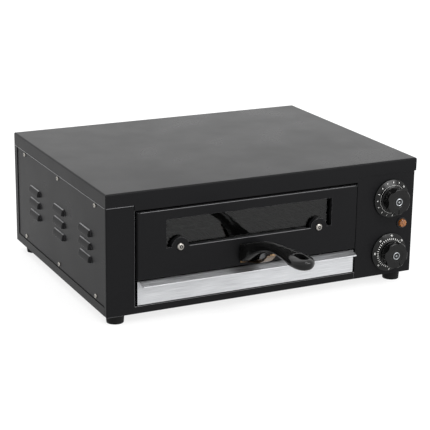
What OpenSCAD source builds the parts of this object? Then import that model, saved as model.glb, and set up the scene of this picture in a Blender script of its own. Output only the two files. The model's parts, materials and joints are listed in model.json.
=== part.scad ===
// Countertop pizza oven: a sheet steel body with a pull-out rack behind a glazed front,
// a crumb tray under it, and a thermostat and a timer in the column on the right.
// Millimetres, +Z up, the front faces -Y. The origin lies on the counter, under the middle
// of the whole outline. Modules are written from the middle of the body's front edge:
// Y = 0 is the cover's front face and Z = 0 the underside of the base.

/* [Body] */
// Width across the cover
body_w = 570; // [562:1:600]
// Depth of the cover from front to back
body_d = 437; // [430:1:460]
// Height from the underside of the base to the top of the cover
body_h = 203; // [200:1:212]
// Thickness of the outer steel sheet
sheet = 1.2; // [1:0.1:1.4]
// Outer radius of the folds in the outer sheet
fold_r = 2.6; // [2:0.2:4]
// How far the cover's sides hang down
skirt_h = 22.5; // [20:0.5:26]
// How far the cover's front band hangs down over the opening
band_h = 31.5; // [29:0.5:33]
// How far the rear panel stands behind the cover
rear_proud = 4; // [3:0.5:6]
// Width of the front sheets' folded edges, seen on the sides
flange_w = 11; // [9:0.5:14]
// Width of the rear panel's folded edges, seen on the sides
rear_flange_w = 13; // [11:0.5:15]
// Height of the base's folded edge, seen on the sides
base_edge_h = 14.5; // [12:0.5:16]

/* [Opening] */
// Width of the front opening, for a 16 inch pizza
opening_w = 405.5; // [400:0.5:410]
// Width of the post at the left of the opening
post_w = 49.5; // [46:0.5:54]
// Height of the rail under the opening
rail_h = 12.2; // [11:0.2:13.4]
// Depth of the folded edges round the opening
return_d = 12; // [10:0.5:12.5]
// Thickness of the chamber's aluminised sheet
liner = 1; // [0.8:0.1:1.2]

/* [Louvres] */
// Length of one pressed louvre
louvre_len = 52; // [44:1:60]
// Height of one louvre
louvre_h = 11; // [9:0.5:13]
// How far a louvre stands out of its panel
louvre_out = 5; // [4:0.5:6]
// Columns of louvres on each side
louvre_cols = 3; // [2:1:3]
// Rows of louvres on each side
louvre_rows = 3; // [2:1:4]
// Distance between the columns
louvre_pitch_y = 121; // [100:1:126]
// Distance between the rows
louvre_pitch_z = 21.7; // [18:0.1:24]
// Height of the middle row's open lower edge
louvre_z = 93; // [85:1:100]
// How far the middle column lies in front of the side's middle
louvre_ahead = 4; // [0:1:8]

/* [Feet] */
// Height of a foot
foot_h = 17; // [14:1:22]
// Diameter of a foot at the body
foot_top_d = 31; // [27:1:34]
// Diameter of a foot on the counter
foot_low_d = 28; // [24:1:30]
// Distance from the body's edges to a foot's centre
foot_in = 25; // [22:1:32]

/* [Rack drawer] */
// Gap between the drawer front and the opening's sides
door_gap = 3; // [2.5:0.1:4]
// Gap above and below the drawer front
door_gap_z = 2.5; // [2:0.1:3.5]
// How far the drawer front stands proud of the cover
door_proud = 4.3; // [3.5:0.1:6]
// Radius of the drawer front's rolled edges
door_edge_r = 3; // [2:0.2:4]
// Width of the window
window_w = 301; // [280:1:310]
// Height of the window
window_h = 47.7; // [44:0.1:50]
// Distance from the window's top edge to the top of the drawer front
window_top = 16.5; // [15:0.5:20]
// Radius of the two tabs that stand into the window round the screws
tab_r = 15; // [13:0.5:16]
// Distance between the two screws of the drawer front
tab_pitch = 252.8; // [230:0.2:256]
// Distance from the front sheet to the glass
glass_depth = 7.1; // [6:0.1:8]
// Thickness of the glass
glass_t = 4; // [3:0.5:4]
// Height of the rack's frame wire above the base
rack_z = 96; // [92:0.5:97]
// Radius of the rack's frame wire
frame_wire_r = 2.5; // [2.2:0.1:2.8]
// Radius of the rack's thin wires
thin_wire_r = 1.25; // [1:0.05:1.4]
// Distance between the thin wires
wire_pitch = 13; // [12:0.5:20]

/* [Handle] */
// Reach of the handle's tip in front of the cover
handle_reach = 191; // [175:1:205]
// Half the width of the handle's grip
grip_w2 = 20; // [18:0.5:22]
// Half the thickness of the handle's grip
grip_t2 = 9.5; // [8.5:0.5:10.5]
// Half the width of the handle's neck
neck_w2 = 10.4; // [9.5:0.1:12]
// Half the thickness of the handle's neck
neck_t2 = 8.2; // [7.5:0.1:9]
// Half the width of the handle's base
base_w2 = 22; // [16:0.5:24]
// Half the height of the handle's base
base_t2 = 15.5; // [14:0.5:16]
// How far the grip lies above the middle of the base
handle_rise = 32.4; // [28:0.2:36]
// Length of the hanging hole
hang_len = 30; // [24:1:32]
// Width of the hanging hole
hang_w = 15; // [12:0.5:17]

/* [Crumb tray] */
// Height of the tray's front
tray_front_h = 39.7; // [37:0.1:41]
// Gap between the tray and the opening's sides
tray_gap = 4; // [3.5:0.1:5]
// Gap between the rail and the tray's front
tray_gap_z = 2.1; // [1.5:0.1:2.5]
// How far the tray's lip reaches forward
lip_reach = 16; // [12:0.5:20]
// How far the lip slopes down
lip_drop = 4.5; // [3:0.5:6]
// Thickness of the stainless sheet
tray_t = 1; // [0.8:0.1:1.2]
// Height of the tray's inner walls
tray_wall_h = 14; // [11:0.5:16]

/* [Heating] */
// Radius of the tube heaters
rod_r = 3.25; // [3:0.05:4]
// Distance between the runs of a heater
rod_pitch = 95; // [80:1:100]
// Height of the lower heater above the base
low_rod_z = 46; // [42:0.5:50]
// Distance from the chamber's roof down to the upper heater
high_rod_drop = 14; // [12:0.5:15]

/* [Controls] */
// Distance from the body's right edge to the dials' axis
dial_in = 48.3; // [46:0.1:58]
// Height of the thermostat's axis
thermostat_z = 136.3; // [134:0.1:142]
// Height of the timer's axis
timer_z = 40.7; // [39:0.1:52]
// Diameter of a dial's numbered skirt
dial_d = 67; // [62:1:70]
// Diameter of a dial's grip
knob_d = 46; // [40:1:48]
// Length of a dial's grip in front of its skirt
knob_len = 21; // [20:1:28]
// Number of finger grooves round a grip
knob_flutes = 6; // [5:1:10]
// Radius of the control shafts
shaft_r = 3; // [2.8:0.1:3.2]
// Distance from the body's right edge to the pilot lamp
lamp_in = 24; // [22:0.5:28]
// Height of the pilot lamp
lamp_z = 90; // [86:0.5:96]
// Radius of the pilot lamp's lens
lamp_r = 8; // [7:0.5:8.5]
// Radius of the hole for the supply cable
cable_r = 4.5; // [4:0.1:5]

/* [Hidden] */

$fn = 48;
// Gap between pieces that only lie near each other
near = 0.3;
// Radial clearance of a running shaft
run = 0.05;
// Radial clearance of a screw in its hole
screw_gap = 0.2;
// Gap of a folded piece inside another
slip = 0.5;
// What a cutting tool reaches past the sheet that it cuts
past = 1;

// Planes of the body
half_w = body_w / 2;
post_x = half_w - sheet;
panel_x = half_w - 2 * sheet;
side_t = liner;
frame_y = sheet;
frame_back = 2 * sheet;
rear_y = body_d + rear_proud;
rear_in = rear_y - sheet;
skirt_z = body_h - skirt_h;
post_top = body_h - fold_r - slip;
tongue_x = panel_x - side_t - slip;
fold_end = frame_y + fold_r + near;
rear_flange_y = rear_y - rear_flange_w;
post_leg = 20;
rail_leg = 32;
rail_foot = 14;
foot_y = [foot_in, body_d - foot_in];

// The opening
open_l = -half_w + post_w;
open_r = open_l + opening_w;
open_mid = (open_l + open_r) / 2;
open_top = body_h - band_h;

// The chamber
chamber_y = frame_y + return_d + near;
back_space = 12;
chamber_back_y = body_d - back_space;
wall_l = open_l - sheet;
wall_r = open_r + sheet;
wall_foot = 10;
chamber_z = open_top + sheet;
roof_z = chamber_z + liner;
end_gap = 1;
runner_short = 5;
runner_len = chamber_back_y - chamber_y - end_gap - runner_short;

// The crumb tray
tray_z = rail_h + tray_gap_z;
tray_top = tray_z + tray_front_h;
tray_w = opening_w - 2 * tray_gap;
tray_in = 3;
tray_lift = 1.7;
tray_floor = tray_z + tray_lift;
tray_short = 19;
tray_d = chamber_back_y - tray_short;

// The drawer front
door_w = opening_w - 2 * door_gap;
door_z = tray_top + door_gap_z;
door_h = open_top - door_gap_z - door_z;
door_back = frame_y + return_d - sheet;
door_in = -door_proud + sheet;
window_z = door_z + door_h - window_top - window_h;
glass_y = door_in + glass_depth;
liner_y = glass_y + glass_t;
bracket_y = liner_y + liner;
bracket_t = 3;
door_screw_r = 3;
door_head_r = 6;
door_head_h = 3.4;
seat_w = 9;
glass_lap = 7;

// The rack
rack_w = opening_w - 2 * door_gap;
weld = 0.4;
rack_front = bracket_y + bracket_t + frame_wire_r - weld;
rack_short = 12;
rack_back = chamber_back_y - rack_short;
thin_z = rack_z + frame_wire_r + thin_wire_r - weld;
cross_wire_r = 2;
cross_wire_z = thin_z - thin_wire_r - cross_wire_r + weld;
rack_bend = 9;

// Heaters: four runs across the chamber, joined by half turns
rod_y = (chamber_y + chamber_back_y) / 2 - 1.5 * rod_pitch;
rod_in = 18;
high_rod_z = open_top - high_rod_drop;
hanger_in = 90;

// Controls
dial_x = half_w - dial_in;
dial_gap = 1;
skirt_t = 5.5;
// Turn of the timer's dial on its shaft with no time set
timer_rest = 24;
shaft_in = 22;
thermostat_d = 32;
bush_r = 5;
nut_t = 2.6;
cap_r = 6.7;
lamp_x = half_w - lamp_in;
lamp_rim = 1.5;
lamp_front = frame_y - lamp_rim;
lens_seat = 8;
lens_gap = 0.1;
lens_r = lamp_r - 1 - run;
dish_r = 13;
dish_d = 1.6;
control_y = frame_back;
control_tab_l = 9;

// Thermostat's sensing bulb, between two runs of the upper heater
bulb_r = 3;
bulb_len = 110;
bulb_drop = 4;
bulb_z = high_rod_z - bulb_drop;
bulb_in = 8;
bulb_x = open_r - bulb_in;
bulb_behind = 28;
bulb_y = rod_y + bulb_behind;
capillary_r = 0.8;
capillary_bend = 6;
capillary_lead = 4;
capillary_y = bulb_y - capillary_bend - capillary_lead;

// Handle
handle_x = open_mid;
plate_t = 2;
handle_y = -door_proud - plate_t;
handle_screw_x = 8;
handle_screw_r = 2;
handle_screw_in = 12;
// The screws sit midway between the drawer front's low edge and the window frame's
handle_screw_z = (door_z + window_z - seat_w) / 2;
handle_screw_drop = 4.4;
handle_z = handle_screw_z + handle_screw_drop;

// Screws
panel_screw_r = 1.9;
panel_head_r = 3.8;
panel_head_h = 2.2;
panel_screw_len = 7;
side_screw_end = 49.5;
side_screw_low = 21.5;
side_screw_drop = 7.5;
side_screw_y = [for (k = [-1:1]) body_d / 2 + k * (body_d / 2 - side_screw_end)];
side_screw_z = [side_screw_low, skirt_z - side_screw_drop];
cover_screw_in = 60;
cover_screw_rise = 9;
cover_screw_x = [-half_w + cover_screw_in, 0, half_w - cover_screw_in];
cover_screw_z = skirt_z + cover_screw_rise;
rear_screw_in = 12;
rear_screw_low = 24;
rear_screw_drop = 20;
rear_screw_x = panel_x - side_t - rear_screw_in;
rear_screw_z = [rear_screw_low, skirt_z - rear_screw_drop];
foot_screw_r = 2;
foot_recess_h = 6;
foot_head_h = 2.4;

// Rear panel: two columns of louvres behind the controls, and the cable gland
rear_louvre_out = 34;
rear_louvre_gap = 16.5;
rear_louvre_rise = 16;
rear_louvre_x = [for (k = [0:1]) wall_r + rear_louvre_out - k * (louvre_len + rear_louvre_gap)];
rear_louvre_z = [for (k = [-1:1]) louvre_z + rear_louvre_rise + k * louvre_pitch_z];
gland_in = 45;
gland_x = half_w - gland_in;
gland_z = 34;
gland_wall = 3.5;
gland_r = cable_r + gland_wall;
gland_flange = 6;

// From the middle of the body's front edge to the origin under the whole outline
front_y = (handle_reach - rear_y - gland_flange) / 2;

module placed() {
  translate([0, front_y, foot_h]) children();
}

function arc(cx, cy, r, a0, a1, n = 3) =
  [for (i = [0:n]) let (a = a0 + (a1 - a0) * i / n) [cx + r * cos(a), cy + r * sin(a)]];

// Outline of a block with its two upper corners rounded
function round_top(w, h, r) = concat([[-w / 2, 0], [w / 2, 0]],
  arc(w / 2 - r, h - r, r, 0, 90), arc(-w / 2 + r, h - r, r, 90, 180));

// Outline of a folded angle: legs a along X and b along Y from its outer corner
function angle_outline(a, b, t, r) = concat([[a, 0], [a, t]],
  arc(r, r, r - t, 270, 180), [[t, b], [0, b]], arc(r, r, r, 180, 270));

// Outline of a strip of thickness t along a line of points
function ribbon(p, t) = let (n = len(p) - 1,
  d = [for (i = [0:n]) let (v = p[min(i + 1, n)] - p[max(i - 1, 0)]) v / norm(v)],
  side = [for (v = d) [-v.y, v.x] * t / 2])
  concat([for (i = [0:n]) p[i] + side[i]], [for (i = [n:-1:0]) p[i] - side[i]]);

// A block whose top edges are all rounded, like the outside of a folded lid
module lid_block(w, d, h, r) {
  intersection() {
    translate([0, d, 0]) rotate([90, 0, 0]) linear_extrude(d) polygon(round_top(w, h, r));
    translate([-w / 2, d / 2, 0]) rotate([90, 0, 90]) linear_extrude(w) polygon(round_top(d, h, r));
  }
}

// A lid folded from sheet, open at the bottom
module folded_lid(w, d, h, r, t) {
  difference() {
    lid_block(w, d, h, r);
    translate([0, t, -past]) lid_block(w - 2 * t, d - 2 * t, h - t + past, r - t);
  }
}

// A box from one corner to the other
module block(a, b) {
  translate(a) cube(b - a);
}

// A rod or a hole along X, Y or Z that starts at p
module along_x(p, r, len) {
  translate(p) rotate([0, 90, 0]) cylinder(r = r, h = len);
}
module along_y(p, r, len) {
  translate(p) rotate([-90, 0, 0]) cylinder(r = r, h = len);
}
module along_z(p, r, len) {
  translate(p) cylinder(r = r, h = len);
}

// A shape drawn with Z up from the panel, stood so that it looks out of the front
module facing_front(x, y, z) {
  translate([x, y, z]) rotate([90, 0, 0]) children();
}

// ---- Casing ----

module top_cover() placed() color("#2b2b2c") {
  difference() {
    translate([0, 0, open_top]) folded_lid(body_w, body_d, band_h, fold_r, sheet);
    block([-half_w - past, sheet, open_top - past], [half_w + past, body_d + past, skirt_z]);
    block([-half_w - past, -past, open_top - past], [open_l, sheet + past, skirt_z]);
    block([open_r, -past, open_top - past], [half_w + past, sheet + past, skirt_z]);
    for (x = cover_screw_x)
      along_y([x, body_d - sheet - past, cover_screw_z], panel_screw_r + screw_gap, sheet + 2 * past);
  }
}

module front_frame() placed() color("#262627") {
  // Left post: a folded angle, and the fold along the opening
  translate([-post_x, frame_y, 0]) linear_extrude(post_top)
    polygon(angle_outline(post_x + open_l, flange_w - frame_y, sheet, fold_r));
  block([open_l - sheet, frame_y, rail_h - sheet], [open_l, frame_y + return_d, open_top + sheet]);
  // Rail under the opening, with its fold
  block([open_l - sheet, frame_y, 0], [open_r, frame_back, rail_h]);
  block([open_l - sheet, frame_y, rail_h - sheet], [open_r, frame_y + return_d, rail_h]);
  // Rail behind the cover's front band, with its fold
  block([open_l - sheet, frame_y, open_top], [open_r, frame_back, post_top]);
  block([open_l - sheet, frame_y, open_top], [open_r, frame_y + return_d, open_top + sheet]);
}

module control_panel() placed() color("#2b2b2c") {
  difference() {
    union() {
      translate([post_x, frame_y, 0]) mirror([1, 0, 0]) linear_extrude(post_top)
        polygon(angle_outline(post_x - open_r, flange_w - frame_y, sheet, fold_r));
      block([open_r, frame_y, rail_h - sheet], [open_r + sheet, frame_y + return_d, open_top + sheet]);
    }
    for (z = [thermostat_z, timer_z])
      along_y([dial_x, frame_y - past, z], bush_r + screw_gap, sheet + 2 * past);
    along_y([lamp_x, frame_y - past, lamp_z], lamp_r + screw_gap, sheet + 2 * past);
  }
}

module base_pan() placed() color("#262627") {
  slot_l = 34;
  slot_w = 4;
  slot_pitch = 14;
  slot_x = wall_r + 30;
  slot_y = 90;
  slots = 8;
  difference() {
    union() {
      block([-tongue_x, frame_back, 0], [tongue_x, rear_in, sheet]);
      block([-panel_x, fold_end, 0], [panel_x, rear_in, sheet]);
      for (s = [0, 1]) mirror([s, 0, 0])
        block([panel_x, flange_w + near, 0], [post_x, rear_flange_y - near, base_edge_h]);
      block([-tongue_x, frame_back, 0], [tongue_x, frame_back + sheet, rail_h - sheet - near]);
    }
    for (sx = [-1, 1], y = foot_y)
      along_z([sx * (half_w - foot_in), y, -past], foot_screw_r + screw_gap, sheet + 2 * past);
    // Cooling slots under the controls
    for (k = [0:slots - 1]) translate([slot_x, slot_y + k * slot_pitch, 0])
      block([0, 0, -past], [slot_l, slot_w, sheet + past]);
  }
}

module rear_panel() placed() color("#262627") {
  shelf_z = skirt_z - near;
  difference() {
    union() {
      block([-post_x, rear_in, 0], [post_x, rear_y, shelf_z]);
      for (s = [0, 1]) mirror([s, 0, 0])
        block([panel_x, rear_flange_y, 0], [post_x, rear_y, shelf_z]);
      block([-tongue_x, body_d - 2 * sheet, shelf_z - sheet], [tongue_x, rear_y, shelf_z]);
      block([-tongue_x, body_d - 2 * sheet, shelf_z - sheet], [tongue_x, body_d - sheet, post_top]);
      for (x = rear_louvre_x, z = rear_louvre_z)
        translate([x, rear_y, z]) rotate([0, 0, 90]) louvre(louvre_out, 0);
    }
    for (x = rear_louvre_x, z = rear_louvre_z)
      translate([x, rear_y, z]) rotate([0, 0, 90]) louvre(louvre_out - sheet, sheet + past);
    for (x = cover_screw_x)
      along_y([x, body_d - 2 * sheet - past, cover_screw_z], panel_screw_r + screw_gap, sheet + 2 * past);
    for (sx = [-1, 1], z = rear_screw_z)
      along_y([sx * rear_screw_x, rear_in - past, z], panel_screw_r + screw_gap, sheet + 2 * past);
    along_y([gland_x, rear_in - past, gland_z], gland_r + screw_gap, sheet + 2 * past);
  }
}

// A pressed louvre on the plane X = 0, bulging to +X and open at its lower edge, Z = 0.
// back is how far the shape also reaches behind the plane, for cutting the hollow.
module louvre(out, back) {
  straight = louvre_len / 2 - louvre_out;
  rise = louvre_h * out / louvre_out;
  steps = 4;
  bow = [for (i = [0:steps]) let (a = 90 * i / steps) [out * cos(a), rise * sin(a)]];
  low = back > 0 ? -near : 0;
  outline = concat([[0, low], [out, low]], bow, [[0, rise]]);
  translate([0, straight, 0]) rotate([90, 0, 0]) linear_extrude(2 * straight)
    polygon(concat([[-back, low], [out, low]], bow, [[-back, rise]]));
  translate([0, straight, 0]) rotate_extrude(angle = 90) polygon(outline);
  translate([0, -straight, 0]) rotate([0, 0, -90]) rotate_extrude(angle = 90) polygon(outline);
}

// The right side panel; the left one is its mirror image
module side_panel() {
  louvre_y = body_d / 2 - louvre_ahead;
  row_z = [for (k = [0:louvre_rows - 1]) louvre_z + (k - (louvre_rows - 1) / 2) * louvre_pitch_z];
  col_y = [for (k = [0:louvre_cols - 1]) louvre_y + (k - (louvre_cols - 1) / 2) * louvre_pitch_y];
  difference() {
    union() {
      block([panel_x - side_t, fold_end, sheet], [panel_x, body_d - sheet - near, post_top]);
      for (y = col_y, z = row_z) translate([panel_x, y, z]) louvre(louvre_out, 0);
    }
    for (y = col_y, z = row_z) translate([panel_x, y, z]) louvre(louvre_out - side_t, side_t + past);
    for (y = side_screw_y, z = side_screw_z)
      along_x([panel_x - side_t - past, y, z], panel_screw_r + screw_gap, side_t + 2 * past);
  }
}
module right_side_panel() placed() color("#2f2f30") side_panel();
module left_side_panel() placed() color("#2f2f30") mirror([1, 0, 0]) side_panel();

// Angle rails along both sides, behind the side panels
module frame_rails() placed() color("#9a9ca0") {
  rail_x = panel_x - side_t;
  y0 = frame_back + sheet + near;
  y1 = rear_in - post_leg - near;
  for (s = [0, 1]) mirror([s, 0, 0]) difference() {
    translate([0, y1, 0]) rotate([90, 0, 0]) linear_extrude(y1 - y0) {
      translate([rail_x, post_top]) rotate(180) polygon(angle_outline(rail_foot, rail_leg, sheet, fold_r));
      translate([rail_x, sheet]) mirror([1, 0]) polygon(angle_outline(rail_foot, rail_leg, sheet, fold_r));
    }
    for (y = side_screw_y, z = side_screw_z)
      along_x([rail_x - sheet - past, y, z], panel_screw_r + run, sheet + 2 * past);
  }
}

module rear_posts() placed() color("#9a9ca0") {
  post_x2 = panel_x - side_t;
  for (s = [0, 1]) mirror([s, 0, 0]) difference() {
    translate([post_x2, rear_in, sheet]) rotate([0, 0, 180])
      linear_extrude(skirt_z - 2 * sheet - 2 * near)
        polygon(angle_outline(post_leg, post_leg, sheet, fold_r));
    for (z = rear_screw_z)
      along_y([rear_screw_x, rear_in - sheet - past, z], panel_screw_r + run, sheet + 2 * past);
  }
}

// ---- Oven chamber ----

module chamber_roof() placed() color("#b9bbbd") {
  rib_w = 10;
  rib_h = 3;
  rib_pitch = 110;
  rib_end = 30;
  rib_y = [chamber_y + rib_end, chamber_back_y - rib_end];
  difference() {
    union() {
      block([wall_l - wall_foot, chamber_y, chamber_z], [wall_r + wall_foot, chamber_back_y + liner, roof_z]);
      for (k = [-1:1]) translate([open_mid + k * rib_pitch, 0, 0])
        block([-rib_w / 2, rib_y[0], roof_z], [rib_w / 2, rib_y[1], roof_z + rib_h]);
    }
    for (k = [-1:1]) translate([open_mid + k * rib_pitch, 0, 0])
      block([liner - rib_w / 2, rib_y[0] + liner, chamber_z - past],
        [rib_w / 2 - liner, rib_y[1] - liner, chamber_z + rib_h]);
  }
}

module chamber_left_wall() placed() color("#b9bbbd") {
  translate([0, chamber_y, 0]) rotate([90, 0, 0]) mirror([0, 0, 1])
    linear_extrude(chamber_back_y - chamber_y) polygon(wall_outline(wall_l, -1));
}

// Channel outline of a chamber wall: web on the plane x, both feet turned away from the chamber
function wall_outline(x, out) = let (z0 = sheet, z1 = chamber_z, w = out * wall_foot, t = -out * liner)
  [[x, z0], [x + w, z0], [x + w, z0 + liner], [x, z0 + liner], [x, z1 - liner], [x + w, z1 - liner],
   [x + w, z1], [x + t, z1], [x + t, z0]];

module chamber_right_wall() placed() color("#b9bbbd") {
  difference() {
    translate([0, chamber_y, 0]) rotate([90, 0, 0]) mirror([0, 0, 1])
      linear_extrude(chamber_back_y - chamber_y) polygon(wall_outline(wall_r, 1));
    for (y = [rod_y, rod_y + 3 * rod_pitch], z = [low_rod_z, high_rod_z])
      along_x([wall_r - liner - past, y, z], rod_r + near, liner + 2 * past);
    along_x([wall_r - liner - past, capillary_y, bulb_z], capillary_r + near, liner + 2 * past);
  }
}

module chamber_back() placed() color("#b9bbbd") {
  block([wall_l - wall_foot, chamber_back_y, sheet], [wall_r + wall_foot, chamber_back_y + liner, chamber_z]);
}

// Channels on the chamber walls that the rack's side wires slide in
module rack_runners() placed() color("#c4c6c8") {
  low = rack_z - frame_wire_r - near;
  high = rack_z + frame_wire_r + near;
  ledge = 11;
  cap = 6;
  outline = [[0, low - liner], [ledge, low - liner], [ledge, low], [liner, low],
    [liner, high], [cap, high], [cap, high + liner], [0, high + liner]];
  for (s = [0, 1]) translate([open_mid, 0, 0]) mirror([s, 0, 0])
    translate([wall_l + liner - open_mid, chamber_y + end_gap, 0]) rotate([90, 0, 0]) mirror([0, 0, 1])
      linear_extrude(runner_len) polygon(outline);
}

// Channels on the base, with an upright edge, that the crumb tray slides on
module tray_runners() placed() color("#c4c6c8") {
  x = -tray_w / 2 + tray_in - 2 * liner;
  top = tray_floor - near;
  ledge = 13;
  guide = 6;
  outline = [[x, sheet], [x + ledge, sheet], [x + ledge, sheet + liner], [x + liner, sheet + liner],
    [x + liner, top - liner], [x + ledge, top - liner], [x + ledge, top], [x + liner, top],
    [x + liner, top + guide], [x, top + guide]];
  for (s = [0, 1]) translate([open_mid, 0, 0]) mirror([s, 0, 0])
    translate([0, chamber_y + end_gap, 0]) rotate([90, 0, 0]) mirror([0, 0, 1])
      linear_extrude(runner_len) polygon(outline);
}

// A half turn of heater tube in the plane Z = 0, bulging to +X, centred on the origin
module half_turn(r) {
  rotate([0, 0, -90]) rotate_extrude(angle = 180) translate([rod_pitch / 2, 0]) circle(r);
}

module heater(z) {
  left = open_l + rod_in + rod_pitch / 2;
  right = open_r - rod_in - rod_pitch / 2;
  tail = wall_r + 14;
  pin_r = 1.6;
  pin_len = 9;
  translate([0, rod_y, z]) {
    for (k = [0, 3]) {
      along_x([left, k * rod_pitch, 0], rod_r, tail - left);
      along_x([tail, k * rod_pitch, 0], pin_r, pin_len);
    }
    for (k = [1, 2]) along_x([left, k * rod_pitch, 0], rod_r, right - left);
    for (k = [0, 2]) translate([left, (k + 0.5) * rod_pitch, 0]) mirror([1, 0, 0]) half_turn(rod_r);
    translate([right, 1.5 * rod_pitch, 0]) half_turn(rod_r);
  }
}
module upper_element() placed() color("#5a5550") heater(high_rod_z);
module lower_element() placed() color("#5a5550") heater(low_rod_z);

// Hangers of the upper heater, brackets of the lower one, and the clips of the sensing bulb
module chamber_clips() placed() color("#c4c6c8") {
  strap = 1.5;
  width = 14;
  foot = 12;
  tongue = rod_in + 8;
  clip_half = 5;
  clip_end = 15;
  hanger_x = [open_l + hanger_in, open_r - hanger_in];
  for (x = hanger_x, k = [1, 2]) difference() {
    union() {
      block([x, rod_y + k * rod_pitch - width / 2, high_rod_z - width / 2],
        [x + strap, rod_y + k * rod_pitch + width / 2, chamber_z]);
      block([x, rod_y + k * rod_pitch - width / 2, chamber_z - strap],
        [x + foot, rod_y + k * rod_pitch + width / 2, chamber_z]);
    }
    along_x([x - past, rod_y + k * rod_pitch, high_rod_z], rod_r + near, strap + 2 * past);
  }
  tongue_z = low_rod_z - rod_r - near;
  for (k = [0, 2]) translate([wall_l + liner, rod_y + (k + 0.5) * rod_pitch, 0]) {
    block([0, -width / 2, tongue_z - strap], [tongue, width / 2, tongue_z]);
    block([0, -width / 2, tongue_z - width], [strap, width / 2, tongue_z]);
  }
  translate([wall_r - liner, rod_y + 1.5 * rod_pitch, 0]) {
    block([-tongue, -width / 2, tongue_z - strap], [0, width / 2, tongue_z]);
    block([-strap, -width / 2, tongue_z - width], [0, width / 2, tongue_z]);
  }
  for (y = [bulb_y + clip_end, bulb_y + bulb_len - clip_end]) difference() {
    block([bulb_x - clip_half, y - strap / 2, bulb_z - clip_half],
      [wall_r - liner, y + strap / 2, bulb_z + clip_half]);
    along_y([bulb_x, y - strap, bulb_z], bulb_r + near, 2 * strap);
  }
}

// ---- Controls ----

// A dial on its axis, drawn with Z = 0 at its back and +Z towards the user: a skirt that
// slopes up for the numbers, and a grip that widens from a round foot to shallow finger
// grooves, with a dished front and a pointer groove on one of its lobes
module dial() {
  grip_r = knob_d / 2;
  top = skirt_t + knob_len;
  rim = 2.2;
  edge = 0.6;
  bevel = 0.6;
  waist_r = 0.85 * grip_r;
  waist_h = 0.1 * knob_len;
  flare_r = 0.97 * grip_r;
  flare_h = 0.5 * knob_len;
  foot_r = 1.5;
  crown_r = 2.4;
  flute_r = 18;
  flute_in = 2.3;
  down = 270;
  pointer_w = 1.6;
  pointer_d = 1.2;
  nut_room = 6;
  floor_r = cap_r + 0.9;
  profile = concat([[0, 0], [dial_d / 2 - edge, 0], [dial_d / 2, edge], [dial_d / 2, rim]],
    [[dial_d / 2 - bevel, rim + bevel]],
    arc(waist_r + foot_r, skirt_t + foot_r, foot_r, 270, 180, 3),
    [[waist_r, skirt_t + foot_r + waist_h], [flare_r, skirt_t + flare_h]],
    arc(grip_r - crown_r, top - crown_r, crown_r, 0, 90, 4), [[0, top]]);
  difference() {
    rotate_extrude() polygon(profile);
    for (k = [0:knob_flutes - 1]) rotate([0, 0, down + (k + 0.5) * 360 / knob_flutes])
      translate([grip_r + flute_r - flute_in, 0, skirt_t + foot_r])
        cylinder(r = flute_r, h = knob_len + past);
    translate([0, 0, top - dish_d]) cylinder(r1 = floor_r, r2 = dish_r, h = dish_d);
    translate([0, 0, top - near]) cylinder(r = dish_r, h = near + past);
    translate([0, 0, -past]) cylinder(r = bush_r + nut_room, h = nut_t + dial_gap + past);
    translate([0, 0, -past]) cylinder(r = shaft_r + run, h = shaft_in - dial_gap + past);
    block([-pointer_w / 2, -grip_r - past, top - pointer_d],
      [pointer_w / 2, -dish_r - dial_gap, top + past]);
  }
}
module dial_at(z, turn = 0) facing_front(dial_x, frame_y - dial_gap, z) rotate([0, 0, turn]) dial();
module thermostat_knob() placed() color("#1b1b1c") dial_at(thermostat_z);
module timer_knob() placed() color("#1b1b1c") dial_at(timer_z, timer_rest);

// Chromed centre of a dial: a disc with a raised ring round it and a stud in its middle
module dial_cap(z) {
  ring_r = 1.05;
  ring_z = 0.9;
  ring_wall = 0.2;
  disc_t = 0.5;
  stud_r = 2.2;
  stud_h = 1.4;
  stud_edge = 0.4;
  facing_front(dial_x, frame_y - dial_gap - skirt_t - knob_len + dish_d, z) rotate_extrude()
    polygon(concat([[0, 0], [cap_r, 0]], arc(cap_r - ring_r, ring_z, ring_r, 0, 180, 6),
      [[cap_r - 2 * ring_r - ring_wall, disc_t], [stud_r, disc_t], [stud_r, stud_h - stud_edge]],
      [[stud_r - stud_edge, stud_h], [0, stud_h]]));
}
module thermostat_cap() placed() color("#d8dadc") dial_cap(thermostat_z);
module timer_cap() placed() color("#d8dadc") dial_cap(timer_z);

module control_shaft(z) {
  inside = 18;
  along_y([dial_x, frame_y - shaft_in, z], shaft_r, shaft_in + inside);
}
module thermostat_shaft() placed() color("#b9bbbd") control_shaft(thermostat_z);
module timer_shaft() placed() color("#b9bbbd") control_shaft(timer_z);

// Bush with its nut, through the panel, and the bore for the shaft
module control_bush(z) {
  nut_wall = 3.6;
  thread_end = 0.4;
  along_y([dial_x, frame_y - nut_t, z], bush_r, nut_t + sheet + past);
  facing_front(dial_x, frame_y, z) cylinder(r = bush_r + nut_wall, h = nut_t - thread_end, $fn = 6);
}
module control_bore(z) {
  depth = 20;
  along_y([dial_x, frame_y - nut_t - past, z], shaft_r + run, nut_t + past + depth);
}

module thermostat_body() placed() color("#d9d4c4") {
  w = 40;
  h = 36;
  tab_x = 11;
  tab_w = 6;
  tab_t = 1;
  tab_drop = 12;
  difference() {
    union() {
      control_bush(thermostat_z);
      block([dial_x - w / 2, control_y, thermostat_z - h / 2],
        [dial_x + w / 2, control_y + thermostat_d, thermostat_z + h / 2]);
      for (k = [-1, 1]) translate([dial_x + k * tab_x, control_y + thermostat_d, thermostat_z - tab_drop])
        block([-tab_w / 2, 0, 0], [tab_w / 2, control_tab_l, tab_t]);
    }
    control_bore(thermostat_z);
  }
}

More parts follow.
